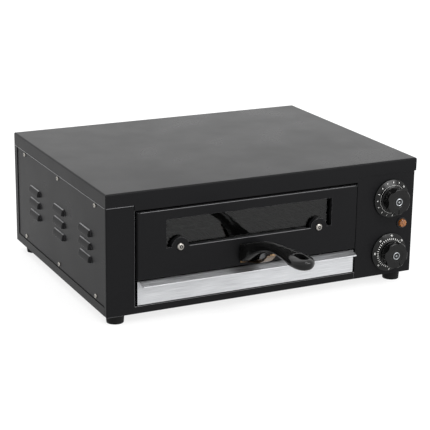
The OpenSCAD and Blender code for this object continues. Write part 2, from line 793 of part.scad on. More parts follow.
// Sensing bulb in the chamber, and the thin tube that bends twice on its way to the thermostat
module thermostat_bulb() placed() color("#c98f5a") {
  bend = capillary_bend;
  end_x = dial_x - 12;
  body_y = control_y + thermostat_d;
  along_y([bulb_x, bulb_y, bulb_z], bulb_r, bulb_len);
  along_y([bulb_x, capillary_y + bend, bulb_z], capillary_r, bulb_y - capillary_y - bend);
  translate([bulb_x + bend, capillary_y + bend, bulb_z]) rotate([0, 0, 180])
    rotate_extrude(angle = 90) translate([bend, 0]) circle(capillary_r);
  along_x([bulb_x + bend, capillary_y, bulb_z], capillary_r, end_x - bulb_x - 2 * bend);
  translate([end_x - bend, capillary_y - bend, bulb_z])
    rotate_extrude(angle = 90) translate([bend, 0]) circle(capillary_r);
  along_y([end_x, body_y, bulb_z], capillary_r, capillary_y - bend - body_y);
}

module timer_body() placed() color("#b9bbbd") {
  r = 23;
  d = 34;
  bell_r = 16;
  bell_d = 8;
  difference() {
    union() {
      control_bush(timer_z);
      along_y([dial_x, control_y, timer_z], r, d);
      along_y([dial_x, control_y + d, timer_z], bell_r, bell_d);
    }
    control_bore(timer_z);
  }
}

// Body of the pilot lamp: a tube with a thin flange in front and two tabs behind
module pilot_body() placed() color("#1b1b1c") {
  depth = 30;
  tab_x = 4;
  tab_w = 0.8;
  tab_h = 4.8;
  tab_l = 8;
  difference() {
    union() {
      along_y([lamp_x, lamp_front, lamp_z], lamp_r + lamp_rim, lamp_rim);
      along_y([lamp_x, frame_y, lamp_z], lamp_r, depth);
    }
    along_y([lamp_x, lamp_front - past, lamp_z], lens_r + run, lens_seat + past);
  }
  for (k = [-1, 1]) translate([lamp_x + k * tab_x, frame_y + depth, lamp_z])
    block([-tab_w / 2, 0, -tab_h / 2], [tab_w / 2, tab_l, tab_h / 2]);
}

// Amber lens: a domed plug with grooves pressed all round its rim
module pilot_lens() placed() color("#d9902a") {
  facets = 12;
  groove = 1.8;
  groove_in = 0.8;
  groove_len = 20;
  crown = 6.2;
  shoulder = 2.5;
  difference() {
    union() {
      along_y([lamp_x, lamp_front, lamp_z], lens_r, lens_seat - lens_gap);
      facing_front(lamp_x, lamp_front, lamp_z) rotate_extrude()
        polygon(concat([[0, 0], [lens_r, 0]], arc(lens_r - shoulder, 3, shoulder, 0, 60, 3), [[0, crown]]));
    }
    for (k = [0:facets - 1]) facing_front(lamp_x, lamp_front, lamp_z) rotate([0, 0, k * 360 / facets])
      translate([lens_r - groove_in, 0, near]) rotate([0, 0, -45]) cube([groove, groove, groove_len]);
  }
}

// Overheat switch on the chamber's right wall: a flanged can with two tabs
module limit_switch() placed() color("#d9d4c4") {
  y = rod_y + 1.5 * rod_pitch;
  z = 118;
  flange_r = 11;
  flange_t = 2;
  can_r = 8;
  can_h = 9;
  tab_y = 5;
  tab_w = 6;
  tab_t = 0.8;
  tab_l = 8;
  along_x([wall_r, y, z], flange_r, flange_t);
  along_x([wall_r + flange_t, y, z], can_r, can_h);
  for (k = [-1, 1]) translate([wall_r + flange_t + can_h, y + k * tab_y, z])
    block([0, -tab_w / 2, -tab_t / 2], [tab_l, tab_w / 2, tab_t / 2]);
}

// Block that the supply cable's wires end in, with two screws for each pole
module terminal_block() placed() color("#e3dfd2") {
  x0 = dial_x - 22;
  y0 = rear_in - 70;
  poles = 3;
  pole = 14;
  width = 24;
  height = 18;
  screw_in = 6;
  well_r = 2.6;
  well_h = 6;
  difference() {
    block([x0, y0, sheet], [x0 + poles * pole, y0 + width, sheet + height]);
    for (k = [0:poles - 1], y = [screw_in, width - screw_in])
      along_z([x0 + (k + 0.5) * pole, y0 + y, sheet + height - well_h], well_r, well_h + past);
  }
}

// Gland in the rear panel that the supply cable comes out of
module cord_gland() placed() color("#1b1b1c") {
  inside = 12;
  collar_r = gland_r + 3;
  collar_t = 2;
  nut_r = gland_r + 2;
  translate([gland_x, rear_y, gland_z]) rotate([-90, 0, 0]) difference() {
    union() {
      translate([0, 0, -inside - sheet]) cylinder(r = gland_r, h = inside + sheet + past);
      rotate_extrude()
        polygon([[0, 0], [collar_r, 0], [collar_r, collar_t], [gland_r, gland_flange], [0, gland_flange]]);
      translate([0, 0, -inside - sheet]) cylinder(r = nut_r, h = inside - slip, $fn = 6);
    }
    translate([0, 0, -inside - sheet - past])
      cylinder(r = cable_r, h = inside + sheet + gland_flange + 2 * past);
  }
}

// ---- Feet and screws ----

module feet() placed() color("#141414") {
  recess_r = 5.5;
  for (sx = [-1, 1], y = foot_y) translate([sx * (half_w - foot_in), y, -foot_h]) difference() {
    cylinder(d1 = foot_low_d, d2 = foot_top_d, h = foot_h);
    translate([0, 0, -past]) cylinder(r = recess_r, h = foot_recess_h + past);
    translate([0, 0, -past]) cylinder(r = foot_screw_r + screw_gap, h = foot_h + 2 * past);
  }
}

// Screws up through the feet, each with its nut on the base
module foot_screws() placed() color("#c4c6c8") {
  head_z = foot_recess_h - foot_h;
  head_r = 4;
  nut_h = 3.2;
  thread_end = 5;
  for (sx = [-1, 1], y = foot_y) translate([sx * (half_w - foot_in), y, 0]) {
    translate([0, 0, head_z - foot_head_h]) cylinder(r = head_r, h = foot_head_h);
    translate([0, 0, head_z]) cylinder(r = foot_screw_r, h = sheet + thread_end - head_z);
    translate([0, 0, sheet]) cylinder(r = head_r, h = nut_h, $fn = 6);
  }
}

// A domed head on its shank, drawn with the head's seat at Z = 0 and the head above;
// cross is the length of its cross recess
module screw(head_r, head_h, shank_r, len, cross) {
  dome_r = head_h * 0.8;
  difference() {
    union() {
      rotate_extrude() polygon(concat([[0, 0], [head_r, 0]],
        arc(head_r - dome_r, head_h - dome_r, dome_r, 0, 90, 4), [[0, head_h]]));
      translate([0, 0, -len]) cylinder(r = shank_r, h = len + head_h / 2);
    }
    for (a = [0, 90]) rotate([0, 0, a]) translate([-cross / 2, -cross / 8, head_h * 0.45])
      cube([cross, cross / 4, head_h]);
  }
}
module panel_screw() {
  screw(panel_head_r, panel_head_h, panel_screw_r, panel_screw_len, panel_head_r);
}

module side_screws() placed() color("#c4c6c8") {
  for (s = [0, 1]) mirror([s, 0, 0])
    for (y = side_screw_y, z = side_screw_z)
      translate([panel_x, y, z]) rotate([0, 90, 0]) panel_screw();
}

module rear_screws() placed() color("#c4c6c8") {
  for (sx = [-1, 1], z = rear_screw_z)
    translate([sx * rear_screw_x, rear_y, z]) rotate([-90, 0, 0]) panel_screw();
  for (x = cover_screw_x)
    translate([x, body_d, cover_screw_z]) rotate([-90, 0, 0]) panel_screw();
}

// ---- Rack drawer ----

// The window's outline, grown by g, with the tabs round the screws left standing
module window_shape(g) {
  difference() {
    translate([-window_w / 2 - g, -g]) square([window_w + 2 * g, window_h + 2 * g]);
    for (s = [-1, 1]) translate([s * tab_pitch / 2, 0]) circle(tab_r - g);
  }
}

// A flat sheet in the door from y to y + t, with the window and screw holes cut
module door_sheet(y, t, w, z0, h) {
  difference() {
    block([open_mid - w / 2, y, z0], [open_mid + w / 2, y + t, z0 + h]);
    window_hole(y, t, slip);
    screw_holes(y, t);
  }
}
module window_hole(y, t, g) {
  translate([open_mid, y + t + past, window_z]) rotate([90, 0, 0])
    linear_extrude(t + 2 * past) window_shape(g);
}
module screw_holes(y, t) {
  for (s = [-1, 1])
    along_y([open_mid + s * tab_pitch / 2, y - past, window_z], door_screw_r + screw_gap, t + 2 * past);
}

module door_panel() placed() color("#262627") {
  difference() {
    translate([open_mid, door_back, door_z]) rotate([90, 0, 0])
      folded_lid(door_w, door_h, door_back + door_proud, door_edge_r, sheet);
    window_hole(-door_proud, sheet, 0);
    screw_holes(-door_proud, sheet);
    for (s = [-1, 1])
      along_y([handle_x + s * handle_screw_x, -door_proud - past, handle_screw_z],
        handle_screw_r + screw_gap, sheet + 2 * past);
  }
}

module window_frame() placed() color("#1e1e1f")
  door_sheet(door_in, glass_depth, window_w + 2 * seat_w, window_z - seat_w, window_h + 2 * seat_w);

module window_glass() placed() color([0.75, 0.8, 0.8, 0.4]) {
  notch_r = door_screw_r + 1.5;
  difference() {
    block([open_mid - window_w / 2 - glass_lap, glass_y, window_z - glass_lap],
      [open_mid + window_w / 2 + glass_lap, liner_y, window_z + window_h + glass_lap]);
    for (s = [-1, 1]) {
      along_y([open_mid + s * tab_pitch / 2, glass_y - past, window_z], notch_r, glass_t + 2 * past);
      translate([open_mid + s * tab_pitch / 2 - notch_r, glass_y - past, window_z - glass_lap - past])
        cube([2 * notch_r, glass_t + 2 * past, glass_lap + past]);
    }
  }
}

module door_liner() placed() color("#b9bbbd") {
  inset = sheet + near;
  door_sheet(liner_y, liner, door_w - 2 * inset, door_z + inset, door_h - 2 * inset);
}

module door_screws() placed() color("#d8dadc") {
  for (s = [-1, 1])
    facing_front(open_mid + s * tab_pitch / 2, -door_proud, window_z)
      screw(door_head_r, door_head_h, door_screw_r, door_proud + bracket_y + bracket_t + past, door_head_r);
}

// A bent frame wire, thin wires along Y welded on it, cross wires under them, and welded tabs
module wire_rack() placed() color("#d0d2d4") {
  side_x = rack_w / 2 - frame_wire_r;
  depth = rack_back - rack_front;
  thin_in = 4;
  thin = floor((side_x - thin_in) / wire_pitch);
  cross_at = [0.22, 0.78];
  cross_half = 12;
  cross_y = [for (k = cross_at, s = [-1, 1]) rack_front + k * depth + s * cross_half];
  tab_half = 12;
  tab_over = 9;
  wire_end = 1;
  difference() {
    translate([open_mid, 0, 0]) {
      for (s = [-1, 1]) {
        along_y([s * side_x, rack_front + rack_bend, rack_z], frame_wire_r, depth - 2 * rack_bend);
        block([s * tab_pitch / 2 - tab_half, bracket_y, rack_z - frame_wire_r + near],
          [s * tab_pitch / 2 + tab_half, bracket_y + bracket_t, window_z + tab_over]);
      }
      for (y = [rack_front, rack_back])
        along_x([-side_x + rack_bend, y, rack_z], frame_wire_r, 2 * (side_x - rack_bend));
      for (k = [0:3]) translate([(k % 3 == 0 ? 1 : -1) * (side_x - rack_bend),
        k < 2 ? rack_back - rack_bend : rack_front + rack_bend, rack_z])
        rotate([0, 0, 90 * k]) rotate_extrude(angle = 90) translate([rack_bend, 0]) circle(frame_wire_r);
      for (y = cross_y)
        along_x([-side_x, y, cross_wire_z], cross_wire_r, 2 * side_x);
      for (k = [-thin:thin])
        along_y([k * wire_pitch, rack_front - wire_end, thin_z], thin_wire_r, depth + 2 * wire_end);
    }
    for (s = [-1, 1])
      along_y([open_mid + s * tab_pitch / 2, bracket_y - past, window_z],
        door_screw_r + run, bracket_t + 2 * past);
  }
}

// The handle is lofted through rounded sections: [distance from the base along Y, height
// above the base's centre, half width, half thickness, roundness]. It rises from a square
// base, draws in to the neck, widens to the grip and closes round its tip.
function handle_sections() = let (l = handle_reach + handle_y, up = handle_rise)
  [[0, 0, base_w2, base_t2, 0.3], [0.04 * l, 0.03 * up, 0.99 * base_w2, base_t2, 0.3],
   [0.09 * l, 0.16 * up, 0.88 * base_w2, 0.93 * base_t2, 0.36],
   [0.15 * l, 0.36 * up, 0.68 * base_w2, 0.83 * base_t2, 0.5],
   [0.24 * l, 0.6 * up, 1.12 * neck_w2, 1.28 * neck_t2, 0.7],
   [0.36 * l, 0.81 * up, neck_w2, 1.07 * neck_t2, 0.8],
   [0.51 * l, 0.93 * up, 1.04 * neck_w2, neck_t2, 0.82],
   [0.68 * l, 0.975 * up, 0.72 * grip_w2, 0.92 * grip_t2, 0.82],
   [0.805 * l, up, 0.96 * grip_w2, grip_t2, 0.82], [0.892 * l, 1.006 * up, grip_w2, grip_t2, 0.82],
   [0.957 * l, up, 0.8 * grip_w2, 0.95 * grip_t2, 0.82],
   [0.989 * l, 0.994 * up, 0.48 * grip_w2, 0.75 * grip_t2, 0.82],
   [l, 0.994 * up, 0.2 * grip_w2, 0.4 * grip_t2, 0.82]];
handle_sides = 24;
handle_steps = 3;

// A smooth curve through the four values p at the fraction t of the middle span
function smooth(p, t) = ((2 * p[1]) + (p[2] - p[0]) * t + (2 * p[0] - 5 * p[1] + 4 * p[2] - p[3]) * t * t
  + (3 * p[1] - p[0] - 3 * p[2] + p[3]) * t * t * t) / 2;
function section_at(s, i, t) =
  smooth([s[max(i - 1, 0)], s[i], s[i + 1], s[min(i + 2, len(s) - 1)]], t);
// A ring of points: between an ellipse and a rounded rectangle
function section_ring(q) = [for (k = [0:handle_sides - 1]) let (a = 360 * k / handle_sides, e = q[4])
  [sign(cos(a)) * pow(abs(cos(a)), e) * q[2], -q[0], q[1] + sign(sin(a)) * pow(abs(sin(a)), e) * q[3]]];

module door_handle() placed() color("#141414") {
  s = handle_sections();
  last = len(s) - 1;
  rows = [for (i = [0:last - 1], k = [0:handle_steps - 1]) section_at(s, i, k / handle_steps), s[last]];
  points = [for (q = rows) each section_ring(q)];
  m = handle_sides;
  n = len(rows);
  sides = [for (i = [0:n - 2], k = [0:m - 1]) let (j = (k + 1) % m)
    each [[i * m + k, (i + 1) * m + k, i * m + j], [i * m + j, (i + 1) * m + k, (i + 1) * m + j]]];
  base = [for (k = [0:m - 1]) k];
  tip = [for (k = [m - 1:-1:0]) (n - 1) * m + k];
  hole_in = 22;
  hole_y = hole_in - handle_reach;
  hole_high = 2 * handle_rise;
  round_y = (hang_len - hang_w) / 2;
  thread_end = 3;
  difference() {
    translate([handle_x, handle_y, handle_z]) polyhedron(points, concat([base], sides, [tip]));
    // Hanging hole with round ends
    for (s = [-1, 1])
      along_z([handle_x, hole_y + s * round_y, handle_z], hang_w / 2, hole_high);
    translate([handle_x, hole_y, handle_z])
      block([-hang_w / 2, -round_y, 0], [hang_w / 2, round_y, hole_high]);
    for (s = [-1, 1])
      along_y([handle_x + s * handle_screw_x, handle_y - handle_screw_in - thread_end, handle_screw_z],
        handle_screw_r + run, handle_screw_in + thread_end + past);
  }
}

// Steel plate behind the handle's base, with a strap that curves up under its neck. The
// strap's points are shares of the handle's length and rise, from the plate's low edge.
module handle_bracket() placed() color("#a08c74") {
  strap_w = 16;
  plate_lap = 2;
  plate_in = 2.5;
  low = handle_z - base_t2 - plate_lap;
  l = handle_reach + handle_y;
  bend = [[0.027, 0.03], [0.074, 0.124], [0.15, 0.232], [0.226, 0.37], [0.296, 0.571], [0.345, 0.815],
    [0.377, 1.012], [0.421, 1.092]];
  path = concat([[handle_y + plate_t / 2, low + plate_t / 2]],
    [for (p = bend) [handle_y - p.x * l, low + p.y * handle_rise]]);
  difference() {
    union() {
      translate([handle_x, handle_y, low])
        block([plate_in - base_w2, 0, 0], [base_w2 - plate_in, plate_t, 2 * base_t2]);
      translate([handle_x - strap_w / 2, 0, 0]) rotate([90, 0, 90]) linear_extrude(strap_w)
        polygon(ribbon(path, plate_t));
    }
    for (s = [-1, 1])
      along_y([handle_x + s * handle_screw_x, handle_y - past, handle_screw_z],
        handle_screw_r + screw_gap, plate_t + 2 * past);
  }
}

module handle_screws() placed() color("#c4c6c8") {
  head_r = 4;
  head_h = 2.4;
  for (s = [-1, 1])
    translate([handle_x + s * handle_screw_x, door_in, handle_screw_z]) rotate([-90, 0, 0])
      screw(head_r, head_h, handle_screw_r, door_in - handle_y + handle_screw_in, head_r);
}

// ---- Crumb tray ----

module crumb_tray() placed() color("#c9cbcd") {
  half = tray_w / 2;
  pan = half - tray_in;
  lip_end = 3;
  hem = 2.6;
  slope = atan2(lip_drop, lip_reach);
  translate([open_mid, 0, 0]) {
    difference() {
      union() {
        block([-half, 0, tray_z], [half, tray_t, tray_top - tray_t]);
        block([-pan, 0, tray_floor], [pan, tray_d, tray_floor + tray_wall_h]);
      }
      block([-pan + tray_t, tray_t, tray_floor + tray_t], [pan - tray_t, tray_d - tray_t, tray_top]);
    }
    // Lip: folded forward from the top edge, its ends cut back at a slant
    intersection() {
      translate([-half, 0, 0]) rotate([90, 0, 90]) linear_extrude(tray_w) polygon([
        [tray_t, tray_top - tray_t], [tray_t, tray_top], [0, tray_top], [-lip_reach, tray_top - lip_drop],
        [-lip_reach, tray_top - lip_drop - 2 * tray_t], [-lip_reach + hem, tray_top - lip_drop - 2 * tray_t],
        [-lip_reach + hem, tray_top - lip_drop - tray_t + hem * tan(slope)], [0, tray_top - tray_t]]);
      translate([0, 0, tray_z]) linear_extrude(tray_front_h + past) polygon([[-half, tray_t], [half, tray_t],
        [half, 0], [half - lip_end, -lip_end], [half - lip_end, -lip_reach - past],
        [-half + lip_end, -lip_reach - past], [-half + lip_end, -lip_end], [-half, 0]]);
    }
  }
}

top_cover();
front_frame();
control_panel();
base_pan();
rear_panel();
left_side_panel();
right_side_panel();
frame_rails();
rear_posts();
chamber_roof();
chamber_left_wall();
chamber_right_wall();
chamber_back();
rack_runners();
tray_runners();
upper_element();
lower_element();
chamber_clips();
thermostat_body();
thermostat_shaft();
thermostat_knob();
thermostat_cap();
thermostat_bulb();
timer_body();
timer_shaft();
timer_knob();
timer_cap();
pilot_body();
pilot_lens();
limit_switch();
terminal_block();
cord_gland();
feet();
foot_screws();
side_screws();
rear_screws();
door_panel();
door_liner();
window_frame();
window_glass();
door_screws();
door_handle();
handle_bracket();
handle_screws();
wire_rack();
crumb_tray();
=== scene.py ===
# %% [markdown]
# # A countertop pizza oven with a pull-out rack
#
# The oven comes as a finished frame: every sheet, wire and screw is already there at full
# size. This notebook gives each piece the surface that the real one has, rounds the edges that
# catch the light, prints the numbers on the dials, and lights the whole as a product
# photograph. All lengths are in metres, so MM turns millimetres into them.

# %% Load the frame
import json
import math

import bpy
from mathutils import Matrix, Vector

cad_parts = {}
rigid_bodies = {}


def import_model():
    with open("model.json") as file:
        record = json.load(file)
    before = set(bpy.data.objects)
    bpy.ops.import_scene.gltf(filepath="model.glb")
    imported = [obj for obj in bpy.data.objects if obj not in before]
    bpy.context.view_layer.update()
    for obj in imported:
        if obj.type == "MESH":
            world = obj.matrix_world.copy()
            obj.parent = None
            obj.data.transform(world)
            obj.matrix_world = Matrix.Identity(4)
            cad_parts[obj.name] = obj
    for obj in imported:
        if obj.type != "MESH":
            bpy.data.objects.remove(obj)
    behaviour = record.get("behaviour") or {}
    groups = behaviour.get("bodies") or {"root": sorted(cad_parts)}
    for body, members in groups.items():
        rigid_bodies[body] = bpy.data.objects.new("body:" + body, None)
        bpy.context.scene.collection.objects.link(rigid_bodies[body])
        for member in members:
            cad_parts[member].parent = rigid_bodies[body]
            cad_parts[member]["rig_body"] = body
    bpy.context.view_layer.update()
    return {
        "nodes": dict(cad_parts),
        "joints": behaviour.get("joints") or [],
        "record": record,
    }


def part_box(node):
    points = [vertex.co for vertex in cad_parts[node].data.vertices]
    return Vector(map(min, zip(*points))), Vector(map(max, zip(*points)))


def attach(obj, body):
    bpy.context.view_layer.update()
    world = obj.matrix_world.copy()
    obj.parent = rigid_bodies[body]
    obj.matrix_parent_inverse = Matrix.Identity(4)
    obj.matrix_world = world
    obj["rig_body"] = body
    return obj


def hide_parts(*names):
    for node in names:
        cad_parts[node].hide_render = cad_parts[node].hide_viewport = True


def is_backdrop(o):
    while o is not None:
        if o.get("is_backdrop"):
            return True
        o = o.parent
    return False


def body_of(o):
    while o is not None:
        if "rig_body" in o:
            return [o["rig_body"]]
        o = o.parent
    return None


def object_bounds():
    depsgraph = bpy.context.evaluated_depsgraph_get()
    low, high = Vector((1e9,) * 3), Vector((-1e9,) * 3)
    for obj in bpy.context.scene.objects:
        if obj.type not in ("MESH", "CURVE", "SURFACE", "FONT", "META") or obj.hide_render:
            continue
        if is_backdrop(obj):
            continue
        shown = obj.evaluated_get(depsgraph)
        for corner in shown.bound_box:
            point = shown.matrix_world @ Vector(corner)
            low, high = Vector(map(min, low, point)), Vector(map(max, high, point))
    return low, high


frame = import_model()
MM = 0.001
print("pieces in the frame:", len(frame["nodes"]))

# %% [markdown]
# Two helpers carry the whole notebook. Paint is chosen as it looks on a screen, so a hex
# colour is turned from sRGB into the linear light that the renderer adds up. A node is added
# with its settings and its links in one call, which keeps each material readable as a recipe.
# Its inputs go by name or by number. A Mix node has an input called A for each kind of value
# that it can mix, so its factor and its two colours go by number.

# %% Colours and shader nodes
FACTOR, COLOUR_A, COLOUR_B, COLOUR_OUT = 0, 6, 7, 2


def linear(hex_colour):
    """The linear colour, with an alpha of 1, of an sRGB colour such as "#161617"."""
    parts = [int(hex_colour[i : i + 2], 16) / 255 for i in (1, 3, 5)]
    # The numbers are the sRGB standard's: a straight line near black, and a power above it.
    low = 0.04045
    return tuple(p / 12.92 if p <= low else ((p + 0.055) / 1.055) ** 2.4 for p in parts) + (1.0,)


def add_node(tree, kind, inputs=None, **settings):
    """Adds a node; each input is a plain value, or the output socket that it is linked to."""
    node = tree.nodes.new(kind)
    for name, value in settings.items():
        setattr(node, name, value)
    for name, value in (inputs or {}).items():
        if isinstance(value, bpy.types.NodeSocket):
            tree.links.new(value, node.inputs[name])
        else:
            node.inputs[name].default_value = value
    return node


print("black enamel in linear light:", [round(c, 4) for c in linear("#161617")[:3]])

# %% [markdown]
# ## Camera
#
# The oven is seen from its front left corner, a little above, through a long lens from about
# two and a half metres. The angles, the distance and the lens are fitted: with them the eight
# corners of the frame's body fall where the photograph has them, and no lens shift is needed.

# %% Camera
VIEW_AZIMUTH = math.radians(-26.30)
VIEW_ELEVATION = math.radians(17.19)
VIEW_ROLL = math.radians(0.79)
VIEW_DISTANCE = 2.534
SENSOR = 36.0
FRAME_PIXELS = 430
FOCAL_PIXELS = 1425.3
AIM = Vector((0.0113, 0.0905, 0.0896))


def make_camera():
    """A camera that looks at AIM from the photograph's side."""
    a, e, r = VIEW_AZIMUTH, VIEW_ELEVATION, VIEW_ROLL
    back = Vector((math.sin(a) * math.cos(e), -math.cos(a) * math.cos(e), math.sin(e)))
    level = Vector((math.cos(a), math.sin(a), 0))
    upright = back.cross(level)
    right = level * math.cos(r) + upright * math.sin(r)
    up = upright * math.cos(r) - level * math.sin(r)
    data = bpy.data.cameras.new("camera")
    data.lens = FOCAL_PIXELS / FRAME_PIXELS * SENSOR
    data.sensor_width = SENSOR
    camera = bpy.data.objects.new("camera", data)
    bpy.context.scene.collection.objects.link(camera)
    axes = Matrix((right, up, back)).transposed().to_4x4()
    camera.matrix_world = Matrix.Translation(AIM + back * VIEW_DISTANCE) @ axes
    bpy.context.scene.camera = camera
    return camera


camera = make_camera()
print("lens:", round(camera.data.lens, 1), "mm")

# %% [markdown]
# ## Finishes
#
# The casing is mild steel, sprayed with powder and baked. Melted powder never lies quite flat:
# it keeps an orange peel of soft bumps, a millimetre or two across, that breaks up reflections
# without dulling them. Two noise patterns of different size make it, and a third, as wide as a
# hand, varies the gloss a little, as handling does. A noise seldom leaves the middle of its
# range, so the part that it does use is spread over the two values wanted. The specular level
# is far under a real paint's. It is set so that the front stays as dark as in the photograph,
# and the top still mirrors the wall.

# %% Black baked enamel
PEEL_SIZE = 1.6 * MM
GRIT_SIZE = 0.5 * MM
SMUDGE_SIZE = 90 * MM
SMUDGE_SPAN = (0.35, 0.65)
ENAMEL_GLOSS = (0.27, 0.32)
ENAMEL_SPECULAR = 0.05
PEEL_DEPTH, PEEL_STRENGTH = 0.012 * MM, 0.5


def new_material(name, **shader):
    """A material with one Principled shader, whose sockets get the values given."""
    material = bpy.data.materials.new(name)
    material.use_nodes = True
    tree = material.node_tree
    tree.nodes.clear()
    inputs = {key.replace("_", " "): value for key, value in shader.items()}
    principled = add_node(tree, "ShaderNodeBsdfPrincipled", inputs)
    add_node(tree, "ShaderNodeOutputMaterial", {"Surface": principled.outputs[0]})
    return material, tree, principled


def make_enamel():
    """Black powder coat on steel: nearly black, satin, with an orange peel."""
    material, tree, shader = new_material("black_powder_coat", IOR=1.5,
                                          Specular_IOR_Level=ENAMEL_SPECULAR)
    place = add_node(tree, "ShaderNodeTexCoord").outputs["Object"]
    peel = add_node(tree, "ShaderNodeTexNoise", {"Vector": place, "Scale": 1 / PEEL_SIZE,
                                                 "Detail": 2})
    grit = add_node(tree, "ShaderNodeTexNoise", {"Vector": place, "Scale": 1 / GRIT_SIZE,
                                                 "Detail": 1})
    smudge = add_node(tree, "ShaderNodeTexNoise", {"Vector": place, "Scale": 1 / SMUDGE_SIZE,
                                                   "Detail": 3})
    gloss = add_node(tree, "ShaderNodeMapRange", {
        "Value": smudge.outputs[0], "From Min": SMUDGE_SPAN[0], "From Max": SMUDGE_SPAN[1],
        "To Min": ENAMEL_GLOSS[0], "To Max": ENAMEL_GLOSS[1]})
    tree.links.new(gloss.outputs[0], shader.inputs["Roughness"])
    shade = add_node(tree, "ShaderNodeMix", {FACTOR: peel.outputs[0], COLOUR_A: linear("#101011"),
                                             COLOUR_B: linear("#161617")}, data_type="RGBA")
    tree.links.new(shade.outputs[COLOUR_OUT], shader.inputs["Base Color"])
    both = add_node(tree, "ShaderNodeMath", {0: peel.outputs[0], 1: grit.outputs[0]},
                    operation="ADD")
    bump = add_node(tree, "ShaderNodeBump", {"Height": both.outputs[0], "Distance": PEEL_DEPTH,
                                             "Strength": PEEL_STRENGTH})
    tree.links.new(bump.outputs[0], shader.inputs["Normal"])
    return material


enamel = make_enamel()
print("orange peel:", PEEL_SIZE / MM, "mm across")

# %% [markdown]
# Most other finishes differ only in their numbers: two tones, two roughnesses, the size of the
# pattern that runs between them, and how deep it is pressed. A pattern that is stretched along
# one axis becomes the scratches of a brush or the lines of a drawing die. So one recipe serves
# them all, and what makes each its own is written in the table further down. Here too the
# middle part of the noise is spread over the whole way from one value to the other.

# %% A recipe for grained, brushed, drawn and moulded surfaces
GRAIN_SPAN = (0.32, 0.68)
GRAIN_STRENGTH = 0.6


def make_grained(name, tones, roughness, size, depth, stretch=(1, 1, 1), detail=3, **shader):
    """A material whose tone, gloss and height follow one noise, size metres across."""
    material, tree, principled = new_material(name, **shader)
    place = add_node(tree, "ShaderNodeTexCoord").outputs["Object"]
    drawn = add_node(tree, "ShaderNodeMapping", {"Vector": place, "Scale": stretch})
    noise = add_node(tree, "ShaderNodeTexNoise", {"Vector": drawn.outputs[0], "Scale": 1 / size,
                                                  "Detail": detail})
    spread = add_node(tree, "ShaderNodeMapRange", {
        "Value": noise.outputs[0], "From Min": GRAIN_SPAN[0], "From Max": GRAIN_SPAN[1]})
    gloss = add_node(tree, "ShaderNodeMapRange", {
        "Value": spread.outputs[0], "To Min": roughness[0], "To Max": roughness[1]})
    tree.links.new(gloss.outputs[0], principled.inputs["Roughness"])
    shade = add_node(tree, "ShaderNodeMix", {
        FACTOR: spread.outputs[0], COLOUR_A: linear(tones[0]), COLOUR_B: linear(tones[1])},
        data_type="RGBA")
    tree.links.new(shade.outputs[COLOUR_OUT], principled.inputs["Base Color"])
    bump = add_node(tree, "ShaderNodeBump", {"Height": noise.outputs[0], "Distance": depth,
                                             "Strength": GRAIN_STRENGTH})
    tree.links.new(bump.outputs[0], principled.inputs["Normal"])
    return material


print("grain: noise from", GRAIN_SPAN[0], "to", GRAIN_SPAN[1], "is spread out")

# %% [markdown]
# The crumb tray is stainless steel brushed along its length with a belt. Each grit leaves a
# scratch a few centimetres long and a fraction of a millimetre wide, so the noise is stretched
# ninetyfold along X. The scratches spread a highlight up and down, never along, which the
# shader calls anisotropy: the direction of the spread runs round the X axis. Its two tones are
# darker than the real metal's, because here it mirrors a white wall on every side.

# %% Brushed stainless steel
SCRATCH_LENGTH = 45 * MM
SCRATCH_WIDTH = 0.5 * MM  # real ones are 0.1 mm; these are as coarse as the picture needs


def make_stainless():
    """Belt-brushed stainless steel, with its grain along X."""
    material = make_grained("brushed_stainless_steel", ("#97989a", "#b8b9bb"), (0.30, 0.44), 1.0,
                            0.03 * MM, (1 / SCRATCH_LENGTH, 1 / SCRATCH_WIDTH, 1 / SCRATCH_WIDTH),
                            Metallic=1.0, Anisotropic=0.75)
    tree = material.node_tree
    around = add_node(tree, "ShaderNodeTangent", direction_type="RADIAL", axis="X")
    shader = next(n for n in tree.nodes if n.bl_idname == "ShaderNodeBsdfPrincipled")
    tree.links.new(around.outputs[0], shader.inputs["Tangent"])
    return material


stainless = make_stainless()
print("scratches:", SCRATCH_LENGTH / MM, "x", SCRATCH_WIDTH / MM, "mm")

# %% [markdown]
# Zinc and aluminium coats freeze on the hot sheet in flat crystals, each of a slightly
# different tone. Voronoi cells have just that form: each cell has one flat colour of its own,
# which sets both its tone and its gloss.

# %% Spangled sheet
SPANGLE_SIZE = 7 * MM
DUST_DEPTH, DUST_STRENGTH = 0.01 * MM, 0.4


def make_spangled(name, tones, roughness):
    """Coated sheet steel: flat crystals of slightly different tone and gloss."""
    material, tree, shader = new_material(name, Metallic=1.0)
    place = add_node(tree, "ShaderNodeTexCoord").outputs["Object"]
    crystal = add_node(tree, "ShaderNodeTexVoronoi", {"Vector": place, "Scale": 1 / SPANGLE_SIZE})
    tone = add_node(tree, "ShaderNodeSeparateColor", {"Color": crystal.outputs["Color"]})
    gloss = add_node(tree, "ShaderNodeMapRange", {
        "Value": tone.outputs[0], "To Min": roughness[0], "To Max": roughness[1]})
    tree.links.new(gloss.outputs[0], shader.inputs["Roughness"])
    shade = add_node(tree, "ShaderNodeMix", {
        FACTOR: tone.outputs[0], COLOUR_A: linear(tones[0]), COLOUR_B: linear(tones[1])},
        data_type="RGBA")
    tree.links.new(shade.outputs[COLOUR_OUT], shader.inputs["Base Color"])
    dust = add_node(tree, "ShaderNodeTexNoise", {"Vector": place, "Scale": 1 / GRIT_SIZE,
                                                 "Detail": 2})
    bump = add_node(tree, "ShaderNodeBump", {"Height": dust.outputs[0], "Distance": DUST_DEPTH,
                                             "Strength": DUST_STRENGTH})
    tree.links.new(bump.outputs[0], shader.inputs["Normal"])
    return material


print("spangle:", SPANGLE_SIZE / MM, "mm")
